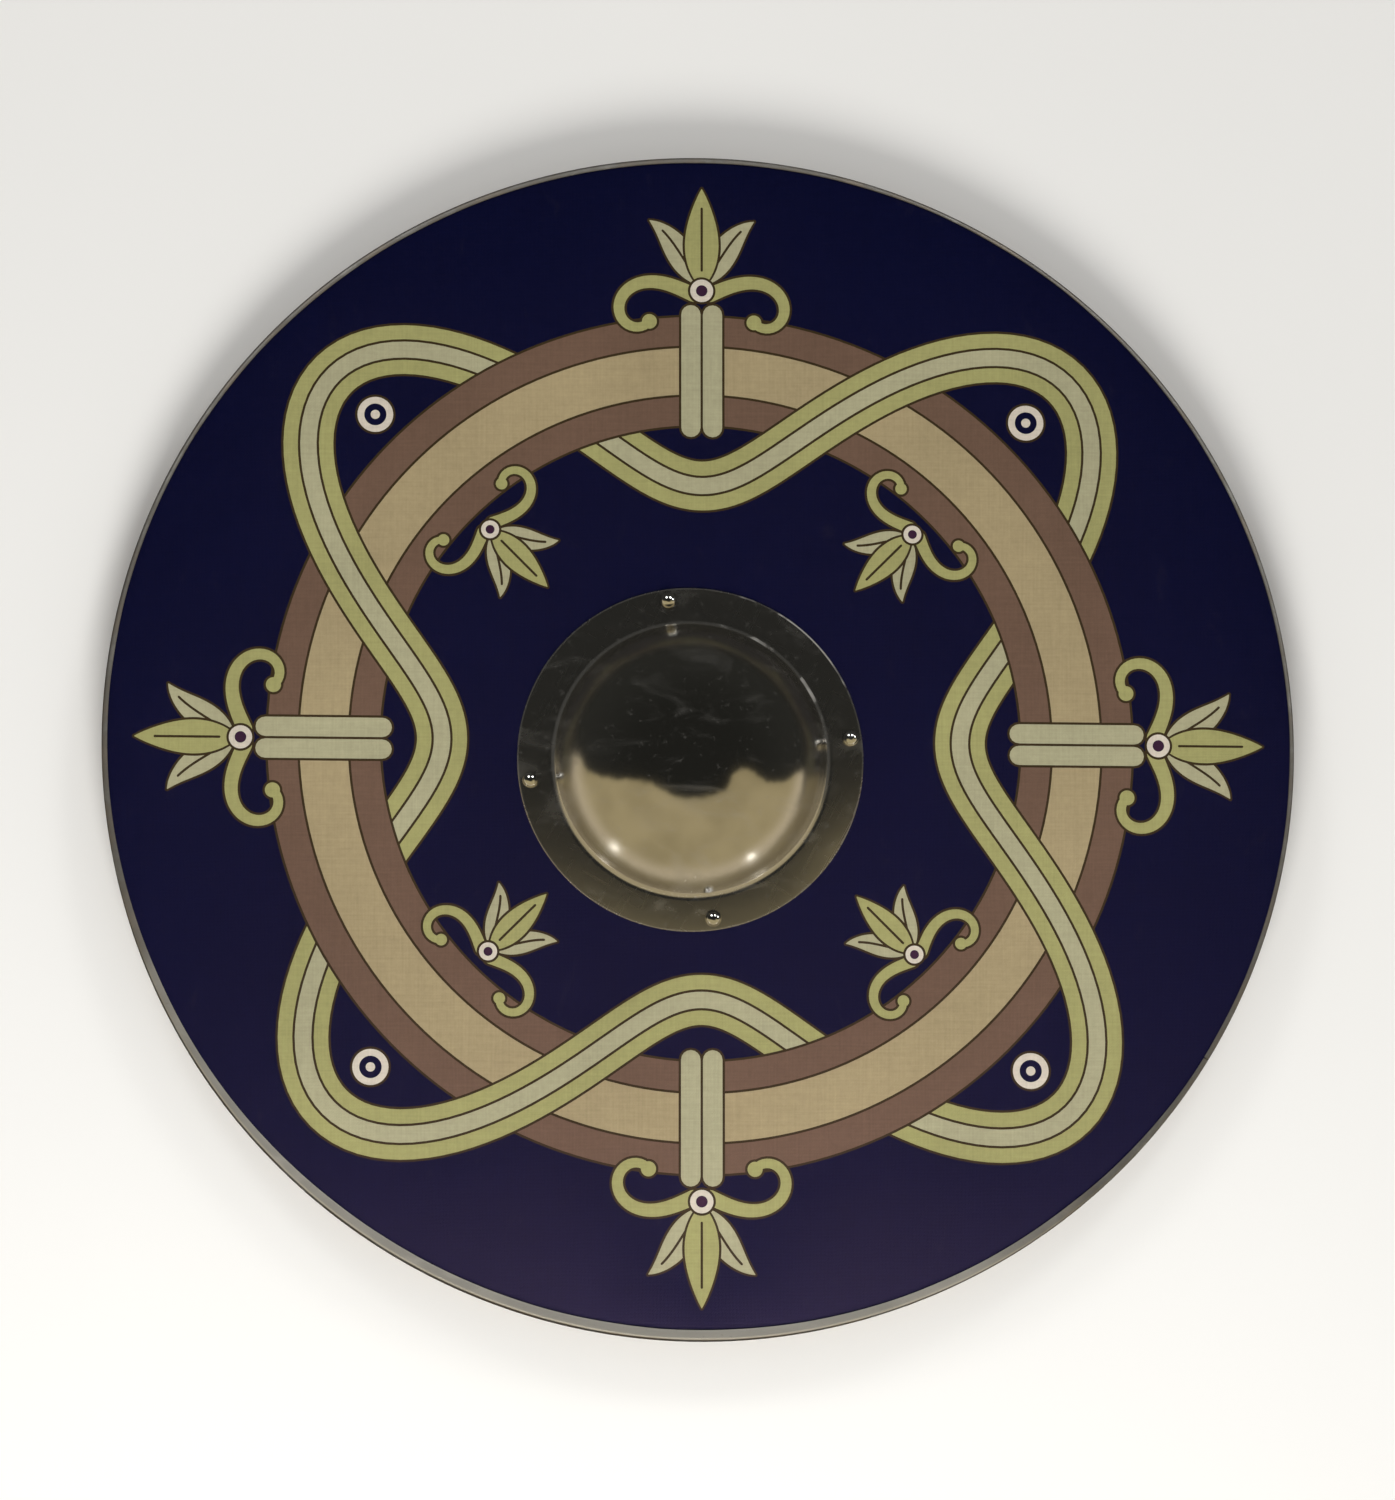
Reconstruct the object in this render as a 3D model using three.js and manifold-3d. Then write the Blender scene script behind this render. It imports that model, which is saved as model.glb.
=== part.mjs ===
// A wooden round shield, lying face up on the underside of its grip.
// A flat plywood board sits in a bent steel channel, and a domed steel boss covers the hand hole.
// Four rivets hold the boss. The left and right ones also hold the wooden grip behind the hole.
// Sizes are in millimetres. +Z points out of the painted face, +Y to the top of the face.

import * as THREE from 'three';
import { mergeVertices } from 'three/addons/utils/BufferGeometryUtils.js';
import Module from 'manifold-3d';

const wasm = await Module();
wasm.setup();

// Driving sizes of the board and the rim
const shieldDiameter = 700;
const boardThickness = 10;
const rimSteel = 1;
const rimBendRadius = 1;
const rimFrontLip = 2.6;
const rimFrontLipSwing = 3;
const rimFrontLipWaver = 0.3;
const rimWidestAngle = 268;
const rimBackLip = 7;
const rimSeamAngle = 328;
const rimSeamWidth = 0.8;

// Driving sizes of the boss, with its height taken from the underside of its flange
const bossShiftX = -6.6;
const bossShiftY = -10.7;
const bossSteel = 2;
const bossFlangeWidth = 21.1;
const bossFootDiameter = 161;
const bossFootFillet = 5;
const bossHeight = 46;

// Driving sizes of the rivets and the roves they are peened over
const rivetPatternAngle = 8;
const rivetEdgeDistance = 6.8;
const rivetHeadDiameter = 9.5;
const rivetHeadHeight = 3.4;
const rivetShankDiameter = 5;
const rivetTailDiameter = 8;
const rivetTailHeight = 1.6;
const roveDiameter = 14;
const roveThickness = 1.5;

// Driving sizes of the hand hole and the grip
const handHoleLedge = 14;
const gripThickness = 20;
const gripEndWidth = 38;
const gripWaistWidth = 32;
const gripEndMargin = 19;
const gripCornerRadius = 10;
const gripEdgeRound = 4;

// Clearances
const contactGap = 0.3;
const rivetHoleClearance = 0.3;
const roveRecessClearance = 1;
const roveRecessSpare = 0.8;

// Numbers of facets
const ringFacets = 88;
const bossFacets = 60;
const rivetFacets = 12;

// Levels above the surface that the shield lies on
const boardBack = gripThickness + contactGap;
const boardFront = boardBack + boardThickness;
const flangeUnderside = boardFront + contactGap;
const rivetHeadSeat = flangeUnderside + bossSteel + contactGap;
const roveRecessDepth = 2 * contactGap + roveThickness + rivetTailHeight + roveRecessSpare;

// Radii that follow from the driving sizes
const rimOuterRadius = shieldDiameter / 2;
const boardRadius = rimOuterRadius - rimSteel - contactGap;
const bossFootRadius = bossFootDiameter / 2;
const bossFlangeRadius = bossFootRadius + bossFlangeWidth;
const handHoleRadius = bossFootRadius - bossSteel - handHoleLedge;
const rivetCircleRadius = bossFlangeRadius - rivetEdgeDistance;
const rivetHoleRadius = rivetShankDiameter / 2 + rivetHoleClearance;

// The rivets, by their direction on the boss, with the level that each one's rove bears against
const rivetPlaces = [
  { name: 'right', turn: 0, roveSeat: roveRecessDepth },
  { name: 'top', turn: 90, roveSeat: boardBack },
  { name: 'left', turn: 180, roveSeat: roveRecessDepth },
  { name: 'bottom', turn: 270, roveSeat: boardBack },
];

const radians = THREE.MathUtils.degToRad;

// A closed geometry as a solid for joining and cutting
function toSolid(geometry) {
  geometry.deleteAttribute('normal');
  geometry.deleteAttribute('uv');
  const merged = mergeVertices(geometry, 1e-4);
  const index = merged.index.array;
  const triangles = [];
  for (let i = 0; i < index.length; i += 3) {
    const [a, b, c] = index.slice(i, i + 3);
    if (a !== b && b !== c && c !== a) triangles.push(a, b, c);
  }
  return new wasm.Manifold(new wasm.Mesh({
    numProp: 3,
    vertProperties: new Float32Array(merged.attributes.position.array),
    triVerts: new Uint32Array(triangles),
  }));
}

function toGeometry(solid) {
  const mesh = solid.getMesh();
  const geometry = new THREE.BufferGeometry();
  geometry.setAttribute('position', new THREE.BufferAttribute(mesh.vertProperties, 3));
  geometry.setIndex(new THREE.BufferAttribute(mesh.triVerts, 1));
  geometry.computeVertexNormals();
  return geometry;
}

// A profile of [radius, height] points spun about Z, with its outside on the right of its run
function spun(profile, facets) {
  const points = profile.map(([radius, height]) => new THREE.Vector2(radius, height));
  return toSolid(new THREE.LatheGeometry(points, facets).rotateX(Math.PI / 2));
}

// An outline pushed up from one level to another
function pushedUp(outline, low, high) {
  const options = { depth: high - low, bevelEnabled: false, curveSegments: 1 };
  return toSolid(new THREE.ExtrudeGeometry(outline, options).translate(0, 0, low));
}

// An upright round cutter
function roundCutter(radius, x, y, low, high, facets) {
  const cylinder = new THREE.CylinderGeometry(radius, radius, high - low, facets);
  return toSolid(cylinder.rotateX(Math.PI / 2).translate(x, y, (low + high) / 2));
}

// A place on the rivet circle, in the boss's own frame
function rivetSpot(turn) {
  const angle = radians(turn);
  return [rivetCircleRadius * Math.cos(angle), rivetCircleRadius * Math.sin(angle)];
}

// Points of a quarter bend from one direction to the next, about a centre
function bend(centreRadius, centreHeight, bendRadius, startAngle, endAngle, steps) {
  const points = [];
  for (let i = 0; i <= steps; i += 1) {
    const angle = radians(startAngle + ((endAngle - startAngle) * i) / steps);
    points.push([
      centreRadius + bendRadius * Math.cos(angle),
      centreHeight + bendRadius * Math.sin(angle),
    ]);
  }
  return points;
}

// The board: a disc with softened edges, a hand hole behind the boss and four rivet holes
function makeBoard() {
  const edgeRound = rimBendRadius - contactGap;
  const profile = [
    [0, boardBack],
    ...bend(boardRadius - edgeRound, boardBack + edgeRound, edgeRound, -90, 0, 2),
    ...bend(boardRadius - edgeRound, boardFront - edgeRound, edgeRound, 0, 90, 2),
    [0, boardFront],
  ];
  let board = spun(profile, ringFacets);
  const cutLow = boardBack - boardThickness;
  const cutHigh = boardFront + boardThickness;
  board = board.subtract(roundCutter(handHoleRadius, bossShiftX, bossShiftY, cutLow, cutHigh, bossFacets));
  for (const place of rivetPlaces) {
    const [x, y] = rivetSpot(place.turn + rivetPatternAngle);
    const hole = roundCutter(rivetHoleRadius, bossShiftX + x, bossShiftY + y, cutLow, cutHigh, rivetFacets);
    board = board.subtract(hole);
  }
  return board;
}

// The width of the rim's front lip in one direction: wider along one side, and a little wavy
function frontLipWidth(angle) {
  const nearness = (1 + Math.cos(angle - radians(rimWidestAngle))) / 2;
  const waver = rimFrontLipWaver * (Math.sin(7 * angle) + Math.sin(11 * angle + 1)) / 2;
  return rimFrontLip + rimFrontLipSwing * nearness ** 3 + waver;
}

// The rim: a steel channel around the board's edge, with one open butt seam
function makeRim() {
  const innerRadius = boardRadius + contactGap;
  const innerLow = boardBack - contactGap;
  const innerHigh = boardFront + contactGap;
  const outerBend = rimBendRadius + rimSteel;
  const bendCentre = innerRadius - rimBendRadius;
  const lipBlank = rimFrontLip + rimFrontLipSwing + 2 * rimFrontLipWaver;
  const profile = [
    [rimOuterRadius - rimBackLip, innerLow - rimSteel],
    ...bend(bendCentre, innerLow + rimBendRadius, outerBend, -90, 0, 2),
    ...bend(bendCentre, innerHigh - rimBendRadius, outerBend, 0, 90, 2),
    [rimOuterRadius - lipBlank, innerHigh + rimSteel],
    [rimOuterRadius - lipBlank, innerHigh],
    ...bend(bendCentre, innerHigh - rimBendRadius, rimBendRadius, 90, 0, 2),
    ...bend(bendCentre, innerLow + rimBendRadius, rimBendRadius, 0, -90, 2),
    [rimOuterRadius - rimBackLip, innerLow],
    [rimOuterRadius - rimBackLip, innerLow - rimSteel],
  ];
  const opening = new THREE.Shape();
  for (let i = 0; i < ringFacets; i += 1) {
    const angle = (2 * Math.PI * i) / ringFacets;
    const reach = rimOuterRadius - frontLipWidth(angle);
    const corner = [reach * Math.cos(angle), reach * Math.sin(angle)];
    if (i === 0) opening.moveTo(...corner);
    else opening.lineTo(...corner);
  }
  const seamLength = 4 * (rimBackLip + lipBlank);
  const seamHeight = 4 * (boardThickness + rimSteel);
  const seam = new THREE.BoxGeometry(seamLength, rimSeamWidth, seamHeight);
  seam.translate(rimOuterRadius, 0, boardBack + boardThickness / 2);
  seam.rotateZ(radians(rimSeamAngle));
  return spun(profile, ringFacets)
    .subtract(pushedUp(opening, innerHigh - rimBendRadius / 2, innerHigh + 2 * rimSteel))
    .subtract(toSolid(seam));
}

// The same profile moved in by the thickness of the sheet
function offsetInward(profile, thickness) {
  return profile.map((point, i) => {
    const here = new THREE.Vector2(...point);
    const before = new THREE.Vector2(...profile[Math.max(i - 1, 0)]);
    const after = new THREE.Vector2(...profile[Math.min(i + 1, profile.length - 1)]);
    const runIn = i > 0 ? here.clone().sub(before).normalize() : after.clone().sub(here).normalize();
    const runOut = i < profile.length - 1 ? after.clone().sub(here).normalize() : runIn;
    const normalIn = new THREE.Vector2(-runIn.y, runIn.x);
    const normalOut = new THREE.Vector2(-runOut.y, runOut.x);
    const mitre = normalIn.clone().add(normalOut).normalize();
    const move = mitre.multiplyScalar(thickness / mitre.dot(normalIn));
    return [Math.max(here.x + move.x, 0), here.y + move.y];
  });
}

// The boss: a hollow dome cut from a ball, with a rounded foot and a flat flange with four holes
function makeBoss() {
  const rise = bossHeight - bossSteel;
  const domeRadius = (bossFootRadius ** 2 + rise ** 2) / (2 * rise);
  const domeCentre = bossHeight - domeRadius;
  const filletHeight = bossSteel + bossFootFillet;
  const filletReach = Math.sqrt((domeRadius + bossFootFillet) ** 2 - (filletHeight - domeCentre) ** 2);
  const footTilt = Math.atan2(filletReach, filletHeight - domeCentre);
  const filletEnd = 270 - THREE.MathUtils.radToDeg(footTilt);
  const domeSteps = 9;
  const dome = [];
  for (let i = 1; i <= domeSteps; i += 1) {
    const tilt = footTilt * (1 - i / domeSteps);
    dome.push([domeRadius * Math.sin(tilt), domeCentre + domeRadius * Math.cos(tilt)]);
  }
  const outside = [
    [bossFlangeRadius, bossSteel],
    ...bend(filletReach, filletHeight, bossFootFillet, 270, filletEnd, 2),
    ...dome,
  ];
  const inside = offsetInward(outside, bossSteel).reverse();
  inside[0][0] = 0;
  let boss = spun([...inside, ...outside], bossFacets);
  for (const place of rivetPlaces) {
    const [x, y] = rivetSpot(place.turn);
    boss = boss.subtract(roundCutter(rivetHoleRadius, x, y, -bossSteel, 2 * bossSteel, rivetFacets));
  }
  return boss.translate([0, 0, flangeUnderside]);
}

// A low dome from its edge to the axis, as profile points that run upwards
function domePoints(edgeRadius, edgeHeight, rise, steps) {
  const sphereRadius = (edgeRadius ** 2 + rise ** 2) / (2 * rise);
  const centreHeight = edgeHeight + rise - sphereRadius;
  const edgeAngle = Math.atan2(edgeHeight - centreHeight, edgeRadius);
  const points = [];
  for (let i = 0; i < steps; i += 1) {
    const angle = edgeAngle + ((Math.PI / 2 - edgeAngle) * i) / steps;
    points.push([sphereRadius * Math.cos(angle), centreHeight + sphereRadius * Math.sin(angle)]);
  }
  points.push([0, edgeHeight + rise]);
  return points;
}

// A rivet with a round head on the flange and a peened tail over its rove
function makeRivet(roveSeat) {
  const shankRadius = rivetShankDiameter / 2;
  const tailRadius = rivetTailDiameter / 2;
  const tailTop = roveSeat - 2 * contactGap - roveThickness;
  const tailDome = domePoints(tailRadius, 0, rivetTailHeight / 2, 2).reverse();
  const profile = [
    ...tailDome.map(([radius, height]) => [radius, tailTop - rivetTailHeight / 2 - height]),
    [tailRadius, tailTop],
    [shankRadius, tailTop],
    [shankRadius, rivetHeadSeat],
    ...domePoints(rivetHeadDiameter / 2, rivetHeadSeat, rivetHeadHeight, 4),
  ];
  return spun(profile, rivetFacets);
}

// A rove: the flat washer that a rivet's tail is peened over
function makeRove(roveSeat) {
  const high = roveSeat - contactGap;
  const low = high - roveThickness;
  const outer = roveDiameter / 2;
  const profile = [
    [rivetHoleRadius, low],
    [outer, low],
    [outer, high],
    [rivetHoleRadius, high],
    [rivetHoleRadius, low],
  ];
  return spun(profile, rivetFacets);
}

// One quarter of the grip's outline, from the waist's middle round to the end's middle
function gripQuarter() {
  const halfLength = rivetCircleRadius + gripEndMargin;
  const halfWidth = gripEndWidth / 2;
  const halfWaist = gripWaistWidth / 2;
  const flareMiddle = handHoleRadius;
  const flareHalfLength = handHoleRadius / 5;
  const path = new THREE.Path();
  path.moveTo(flareMiddle - flareHalfLength, -halfWaist);
  path.bezierCurveTo(
    flareMiddle, -halfWaist,
    flareMiddle, -halfWidth,
    flareMiddle + flareHalfLength, -halfWidth,
  );
  path.lineTo(halfLength - gripCornerRadius, -halfWidth);
  path.absarc(halfLength - gripCornerRadius, gripCornerRadius - halfWidth, gripCornerRadius, -Math.PI / 2, 0);
  return path.getPoints(5);
}

// The grip: a rounded bar across the hand hole, flared at its ends, with a rove recess in each
function makeGrip() {
  const quarter = gripQuarter();
  const right = [...quarter, ...quarter.map((p) => new THREE.Vector2(p.x, -p.y)).reverse()];
  const left = right.map((p) => new THREE.Vector2(-p.x, -p.y));
  const options = {
    depth: gripThickness - 2 * gripEdgeRound,
    bevelThickness: gripEdgeRound,
    bevelSize: gripEdgeRound,
    bevelOffset: -gripEdgeRound,
    bevelSegments: 2,
  };
  const bar = new THREE.ExtrudeGeometry(new THREE.Shape([...right, ...left]), options);
  let grip = toSolid(bar.translate(0, 0, gripEdgeRound));
  const recessRadius = roveDiameter / 2 + roveRecessClearance;
  for (const place of rivetPlaces.filter((one) => one.roveSeat === roveRecessDepth)) {
    const [x, y] = rivetSpot(place.turn);
    const hole = roundCutter(rivetHoleRadius, x, y, -gripThickness, 2 * gripThickness, rivetFacets);
    const recess = roundCutter(recessRadius, x, y, -gripThickness, roveRecessDepth, 2 * rivetFacets);
    grip = grip.subtract(hole).subtract(recess);
  }
  return grip;
}

function addPiece(group, name, solid, color, roughness, metalness) {
  const material = new THREE.MeshStandardMaterial({ color, roughness, metalness });
  const mesh = new THREE.Mesh(toGeometry(solid), material);
  mesh.name = name;
  group.add(mesh);
}

const shield = new THREE.Group();
addPiece(shield, 'board', makeBoard(), 0x1d2238, 0.6, 0);
addPiece(shield, 'rim', makeRim(), 0xa9a8a2, 0.45, 1);

// The boss, the grip and the rivets share one centre and one turn on the board
const handGroup = new THREE.Group();
handGroup.position.set(bossShiftX, bossShiftY, 0);
handGroup.rotation.z = radians(rivetPatternAngle);
shield.add(handGroup);
addPiece(handGroup, 'boss', makeBoss(), 0xb4b2aa, 0.18, 1);
addPiece(handGroup, 'grip', makeGrip(), 0x8f6a41, 0.6, 0);
for (const place of rivetPlaces) {
  const rivetGroup = new THREE.Group();
  rivetGroup.position.set(...rivetSpot(place.turn), 0);
  handGroup.add(rivetGroup);
  addPiece(rivetGroup, `rivet_${place.name}`, makeRivet(place.roveSeat), 0xc4c3be, 0.2, 1);
  addPiece(rivetGroup, `rove_${place.name}`, makeRove(place.roveSeat), 0x8c8b86, 0.5, 1);
}

export default shield;
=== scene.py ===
import math

import bmesh
import bpy
from mathutils import Matrix, Vector, noise
from mathutils.geometry import delaunay_2d_cdt


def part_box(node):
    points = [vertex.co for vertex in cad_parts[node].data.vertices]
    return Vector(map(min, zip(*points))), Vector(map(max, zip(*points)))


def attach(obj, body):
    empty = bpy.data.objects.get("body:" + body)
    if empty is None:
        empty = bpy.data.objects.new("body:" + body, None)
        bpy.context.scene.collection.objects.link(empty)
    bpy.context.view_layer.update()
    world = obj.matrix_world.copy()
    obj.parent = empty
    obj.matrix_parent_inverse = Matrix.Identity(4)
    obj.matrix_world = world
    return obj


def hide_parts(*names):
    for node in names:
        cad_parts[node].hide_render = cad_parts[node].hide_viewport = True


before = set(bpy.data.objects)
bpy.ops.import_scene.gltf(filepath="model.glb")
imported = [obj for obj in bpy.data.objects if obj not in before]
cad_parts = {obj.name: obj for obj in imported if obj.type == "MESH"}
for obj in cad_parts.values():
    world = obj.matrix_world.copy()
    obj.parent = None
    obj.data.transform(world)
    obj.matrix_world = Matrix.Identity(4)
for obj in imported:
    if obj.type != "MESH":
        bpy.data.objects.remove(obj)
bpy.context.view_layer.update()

MM = 0.001
UP = Vector((0, 0, 1))
# How far the pieces stay inside the box of the solids
INSET = 0.05 * MM


def middle(node):
    """The centre of a node's box."""
    low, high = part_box(node)
    return (Vector(low) + Vector(high)) / 2


def level(node, end):
    """A node's lowest (0) or highest (1) level."""
    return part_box(node)[end][2]


def reach(node, centre):
    """The largest distance of a node's corners from an upright line through centre."""
    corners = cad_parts[node].data.vertices
    return max((corner.co.xy - centre.xy).length for corner in corners)


# Places and levels taken from the solids
BOARD_CENTRE = Vector((0, 0, 0))
BOSS_CENTRE = middle("boss") * Vector((1, 1, 0))
BOARD_RADIUS = reach("board", BOARD_CENTRE)
RIM_RADIUS = reach("rim", BOARD_CENTRE) - INSET
FLANGE_RADIUS = reach("boss", BOSS_CENTRE) - INSET
BOARD_BACK, BOARD_FRONT = level("board", 0), level("board", 1)
RIM_BACK, RIM_FRONT = level("rim", 0), level("rim", 1)
BOSS_BACK, BOSS_TOP = level("boss", 0), level("boss", 1)
GRIP_TOP = level("grip", 1)
SIDES = ("top", "right", "bottom", "left")
RIVET_SPOTS = {side: middle(f"rivet_{side}") * Vector((1, 1, 0)) for side in SIDES}
GRIP_LINE = (RIVET_SPOTS["right"] - RIVET_SPOTS["left"]).normalized()
GRIP_ANGLE = math.atan2(GRIP_LINE.y, GRIP_LINE.x)

# Sizes of the steel and the wood
STEEL_OF_BOSS = 2 * MM
STEEL_OF_RIM = 1 * MM
RIM_BEND = 1 * MM
RIM_BACK_LIP = 7 * MM
RIM_LIP_BLANK = 7 * MM
# The front lip every 30 degrees, from the right-hand side anticlockwise, and how far its cut edge wavers
FRONT_LIP_WIDTHS = [width * MM for width in (2.6, 2.7, 2.6, 3.3, 3.4, 2.9, 3.3, 4.8, 6.2, 6.3, 5.4, 3.0)]
LIP_FLUTTER = 0.2 * MM
RIM_SEAM_ANGLE = math.radians(328)
RIM_SEAM_WIDTH = 0.8 * MM
LIP_EDGE_ROUND = 0.3 * MM
BOARD_EDGE_ROUND = 0.7 * MM
BOSS_FOOT_RADIUS = 80.5 * MM
BOSS_FOOT_FILLET = 5 * MM
FLANGE_ROLL = 1.1 * MM
FLANGE_FRONT_BEVEL = 0.4 * MM
FLANGE_BACK_BEVEL = 0.3 * MM
HAND_HOLE_RADIUS = 64.5 * MM
RIVET_HEAD_RADIUS = 4.7 * MM
RIVET_HEAD_BEVEL = 0.3 * MM
RIVET_HEAD_SIDE = 0.25 * MM
RIVET_TAIL_SIDE = 0.7 * MM
RIVET_BEDDING = 0.1 * MM
HAMMERED_BY = 0.06 * MM
RIVET_SHANK_RADIUS = 2.5 * MM
RIVET_HOLE_RADIUS = 2.8 * MM
RIVET_TAIL_RADIUS = 3.95 * MM
ROVE_RADIUS = 6.95 * MM
ROVE_EDGE_ROUND = 0.35 * MM
GRIP_END_WIDTH = 38 * MM
GRIP_WAIST_WIDTH = 32 * MM
GRIP_END_MARGIN = 19 * MM
GRIP_CORNER = 10 * MM
GRIP_EDGE_ROUND = 4 * MM
ROVE_RECESS_DEPTH = 4.5 * MM
ROVE_RECESS_RADIUS = 8 * MM
PLY_THICKNESS = 1.1 * MM


# Helpers for node materials

def wire(tree, value, socket):
    """Feeds a socket from another socket, or sets it to a plain value."""
    if isinstance(value, bpy.types.NodeSocket):
        tree.links.new(value, socket)
    elif value is not None:
        socket.default_value = value


def feed(tree, node, **values):
    """Sets a node's inputs by name, with underscores for the spaces."""
    for label, value in values.items():
        wire(tree, value, node.inputs[label.replace("_", " ")])


def calc(tree, operation, a, b=None, c=None):
    node = tree.nodes.new("ShaderNodeMath")
    node.operation = operation
    for value, socket in zip((a, b, c), node.inputs):
        wire(tree, value, socket)
    return node.outputs[0]


def times(tree, a, b):
    return calc(tree, "MULTIPLY", a, b)


def times_plus(tree, a, b, c):
    return calc(tree, "MULTIPLY_ADD", a, b, c)


def minus(tree, a, b):
    return calc(tree, "SUBTRACT", a, b)


def vector_calc(tree, operation, a, b=None):
    node = tree.nodes.new("ShaderNodeVectorMath")
    node.operation = operation
    wire(tree, a, node.inputs[0])
    wire(tree, b, node.inputs[1])
    return node.outputs["Value" if operation in ("LENGTH", "DOT_PRODUCT") else "Vector"]


def split(tree, vector):
    node = tree.nodes.new("ShaderNodeSeparateXYZ")
    wire(tree, vector, node.inputs[0])
    return node.outputs["X"], node.outputs["Y"], node.outputs["Z"]


def join(tree, x, y, z):
    node = tree.nodes.new("ShaderNodeCombineXYZ")
    for value, socket in zip((x, y, z), node.inputs):
        wire(tree, value, socket)
    return node.outputs[0]


def ramp(tree, value, low, high, start=0.0, end=1.0):
    """Carries a value from one range to another, smoothly and held at both ends."""
    node = tree.nodes.new("ShaderNodeMapRange")
    node.interpolation_type = "SMOOTHSTEP"
    feed(tree, node, Value=value, From_Min=low, From_Max=high, To_Min=start, To_Max=end)
    return node.outputs["Result"]


def clouds(tree, vector, scale, detail=3.0, roughness=0.5, stretch=None, distortion=0.0):
    """Noise around one half, with its vector stretched along the axes if asked."""
    if stretch is not None:
        vector = vector_calc(tree, "MULTIPLY", vector, stretch)
    node = tree.nodes.new("ShaderNodeTexNoise")
    feed(tree, node, Vector=vector, Scale=scale, Detail=detail, Roughness=roughness, Distortion=distortion)
    return node.outputs["Fac"]


def blend_colours(tree, factor, a, b):
    node = tree.nodes.new("ShaderNodeMix")
    node.data_type = "RGBA"
    colour_a, colour_b = [socket for socket in node.inputs if socket.type == "RGBA"]
    wire(tree, factor, node.inputs["Factor"])
    wire(tree, a, colour_a)
    wire(tree, b, colour_b)
    return next(socket for socket in node.outputs if socket.type == "RGBA")


def new_group(name, inputs, outputs):
    """A shader node group with named sockets, given as (name, kind, default)."""
    tree = bpy.data.node_groups.new(name, "ShaderNodeTree")
    kinds = {"value": "NodeSocketFloat", "colour": "NodeSocketColor", "vector": "NodeSocketVector"}
    for label, kind, default in inputs:
        socket = tree.interface.new_socket(label, in_out="INPUT", socket_type=kinds[kind])
        if default is not None:
            socket.default_value = default
    for label, kind in outputs:
        tree.interface.new_socket(label, in_out="OUTPUT", socket_type=kinds[kind])
    return tree, tree.nodes.new("NodeGroupInput").outputs, tree.nodes.new("NodeGroupOutput").inputs


def use_group(tree, group, **values):
    """Places a group in a material."""
    node = tree.nodes.new("ShaderNodeGroup")
    node.node_tree = group
    feed(tree, node, **values)
    return node.outputs


def place_of(tree, centre=(0, 0, 0), turn=0.0):
    """Object coordinates in millimetres about a centre, turned so that X runs along a piece."""
    coordinates = tree.nodes.new("ShaderNodeTexCoord").outputs["Object"]
    node = tree.nodes.new("ShaderNodeMapping")
    node.vector_type = "TEXTURE"
    feed(tree, node, Vector=coordinates, Location=centre, Rotation=(0, 0, turn), Scale=(MM, MM, MM))
    return node.outputs["Vector"]


def from_axis(tree, place):
    """A place's X and Y, and its distance from the upright axis."""
    x, y, _ = split(tree, place)
    return x, y, vector_calc(tree, "LENGTH", join(tree, x, y, 0.0))


def facing(tree, x, y, distance, side):
    """One on the side at that angle, and minus one on the far side."""
    along = calc(tree, "ADD", times(tree, x, math.cos(side)), times(tree, y, math.sin(side)))
    return calc(tree, "DIVIDE", along, distance)


def band(tree, value, start, full, fade, end):
    """One between full and fade, and nothing outside start and end."""
    return times(tree, ramp(tree, value, start, full), ramp(tree, value, fade, end, 1.0, 0.0))


def new_material(name):
    material = bpy.data.materials.new(name)
    material.use_nodes = True
    tree = material.node_tree
    return material, tree, tree.nodes["Principled BSDF"]


def bump(tree, shader, height, distance):
    """Raises a height, in millimetres times distance, on the shader's normal."""
    node = tree.nodes.new("ShaderNodeBump")
    feed(tree, node, Strength=1.0, Distance=distance * MM, Height=height)
    feed(tree, shader, Normal=node.outputs["Normal"])


# Effects that several materials share

def make_linen_group():
    """Plain-woven linen: threads over and under each other, a little uneven."""
    tree, given, made = new_group(
        "Linen weave",
        [("Place", "vector", None), ("Thread Pitch", "value", 0.8)],
        [("Height", "value"), ("Gap", "value"), ("Slub", "value")],
    )
    drift = clouds(tree, given["Place"], 0.05, 2.0)
    bent = vector_calc(tree, "ADD", given["Place"], join(tree, drift, times(tree, drift, -1.3), 0.0))
    x, y, _ = split(tree, bent)
    across = calc(tree, "DIVIDE", x, given["Thread Pitch"])
    along = calc(tree, "DIVIDE", y, given["Thread Pitch"])
    ridge_x = calc(tree, "ABSOLUTE", calc(tree, "SINE", times(tree, across, math.pi)))
    ridge_y = calc(tree, "ABSOLUTE", calc(tree, "SINE", times(tree, along, math.pi)))
    parity = calc(tree, "ADD", calc(tree, "FLOOR", across), calc(tree, "FLOOR", along))
    over = times(tree, calc(tree, "FRACT", times(tree, parity, 0.5)), 2.0)
    under = minus(tree, 1.0, over)
    warp = times(tree, ridge_x, times_plus(tree, over, 0.6, 0.4))
    weft = times(tree, ridge_y, times_plus(tree, under, 0.6, 0.4))
    height = calc(tree, "MAXIMUM", warp, weft)
    slub_x = clouds(tree, given["Place"], 1.0, 2.0, 0.6, stretch=(0.9, 0.03, 1.0))
    slub_y = clouds(tree, given["Place"], 1.0, 2.0, 0.6, stretch=(0.03, 0.9, 1.0))
    slub = times(tree, calc(tree, "ADD", slub_x, slub_y), 0.5)
    wire(tree, times_plus(tree, slub, 0.5, height), made["Height"])
    wire(tree, ramp(tree, height, 0.25, 0.8, 1.0, 0.0), made["Gap"])
    wire(tree, slub, made["Slub"])
    return tree


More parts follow.
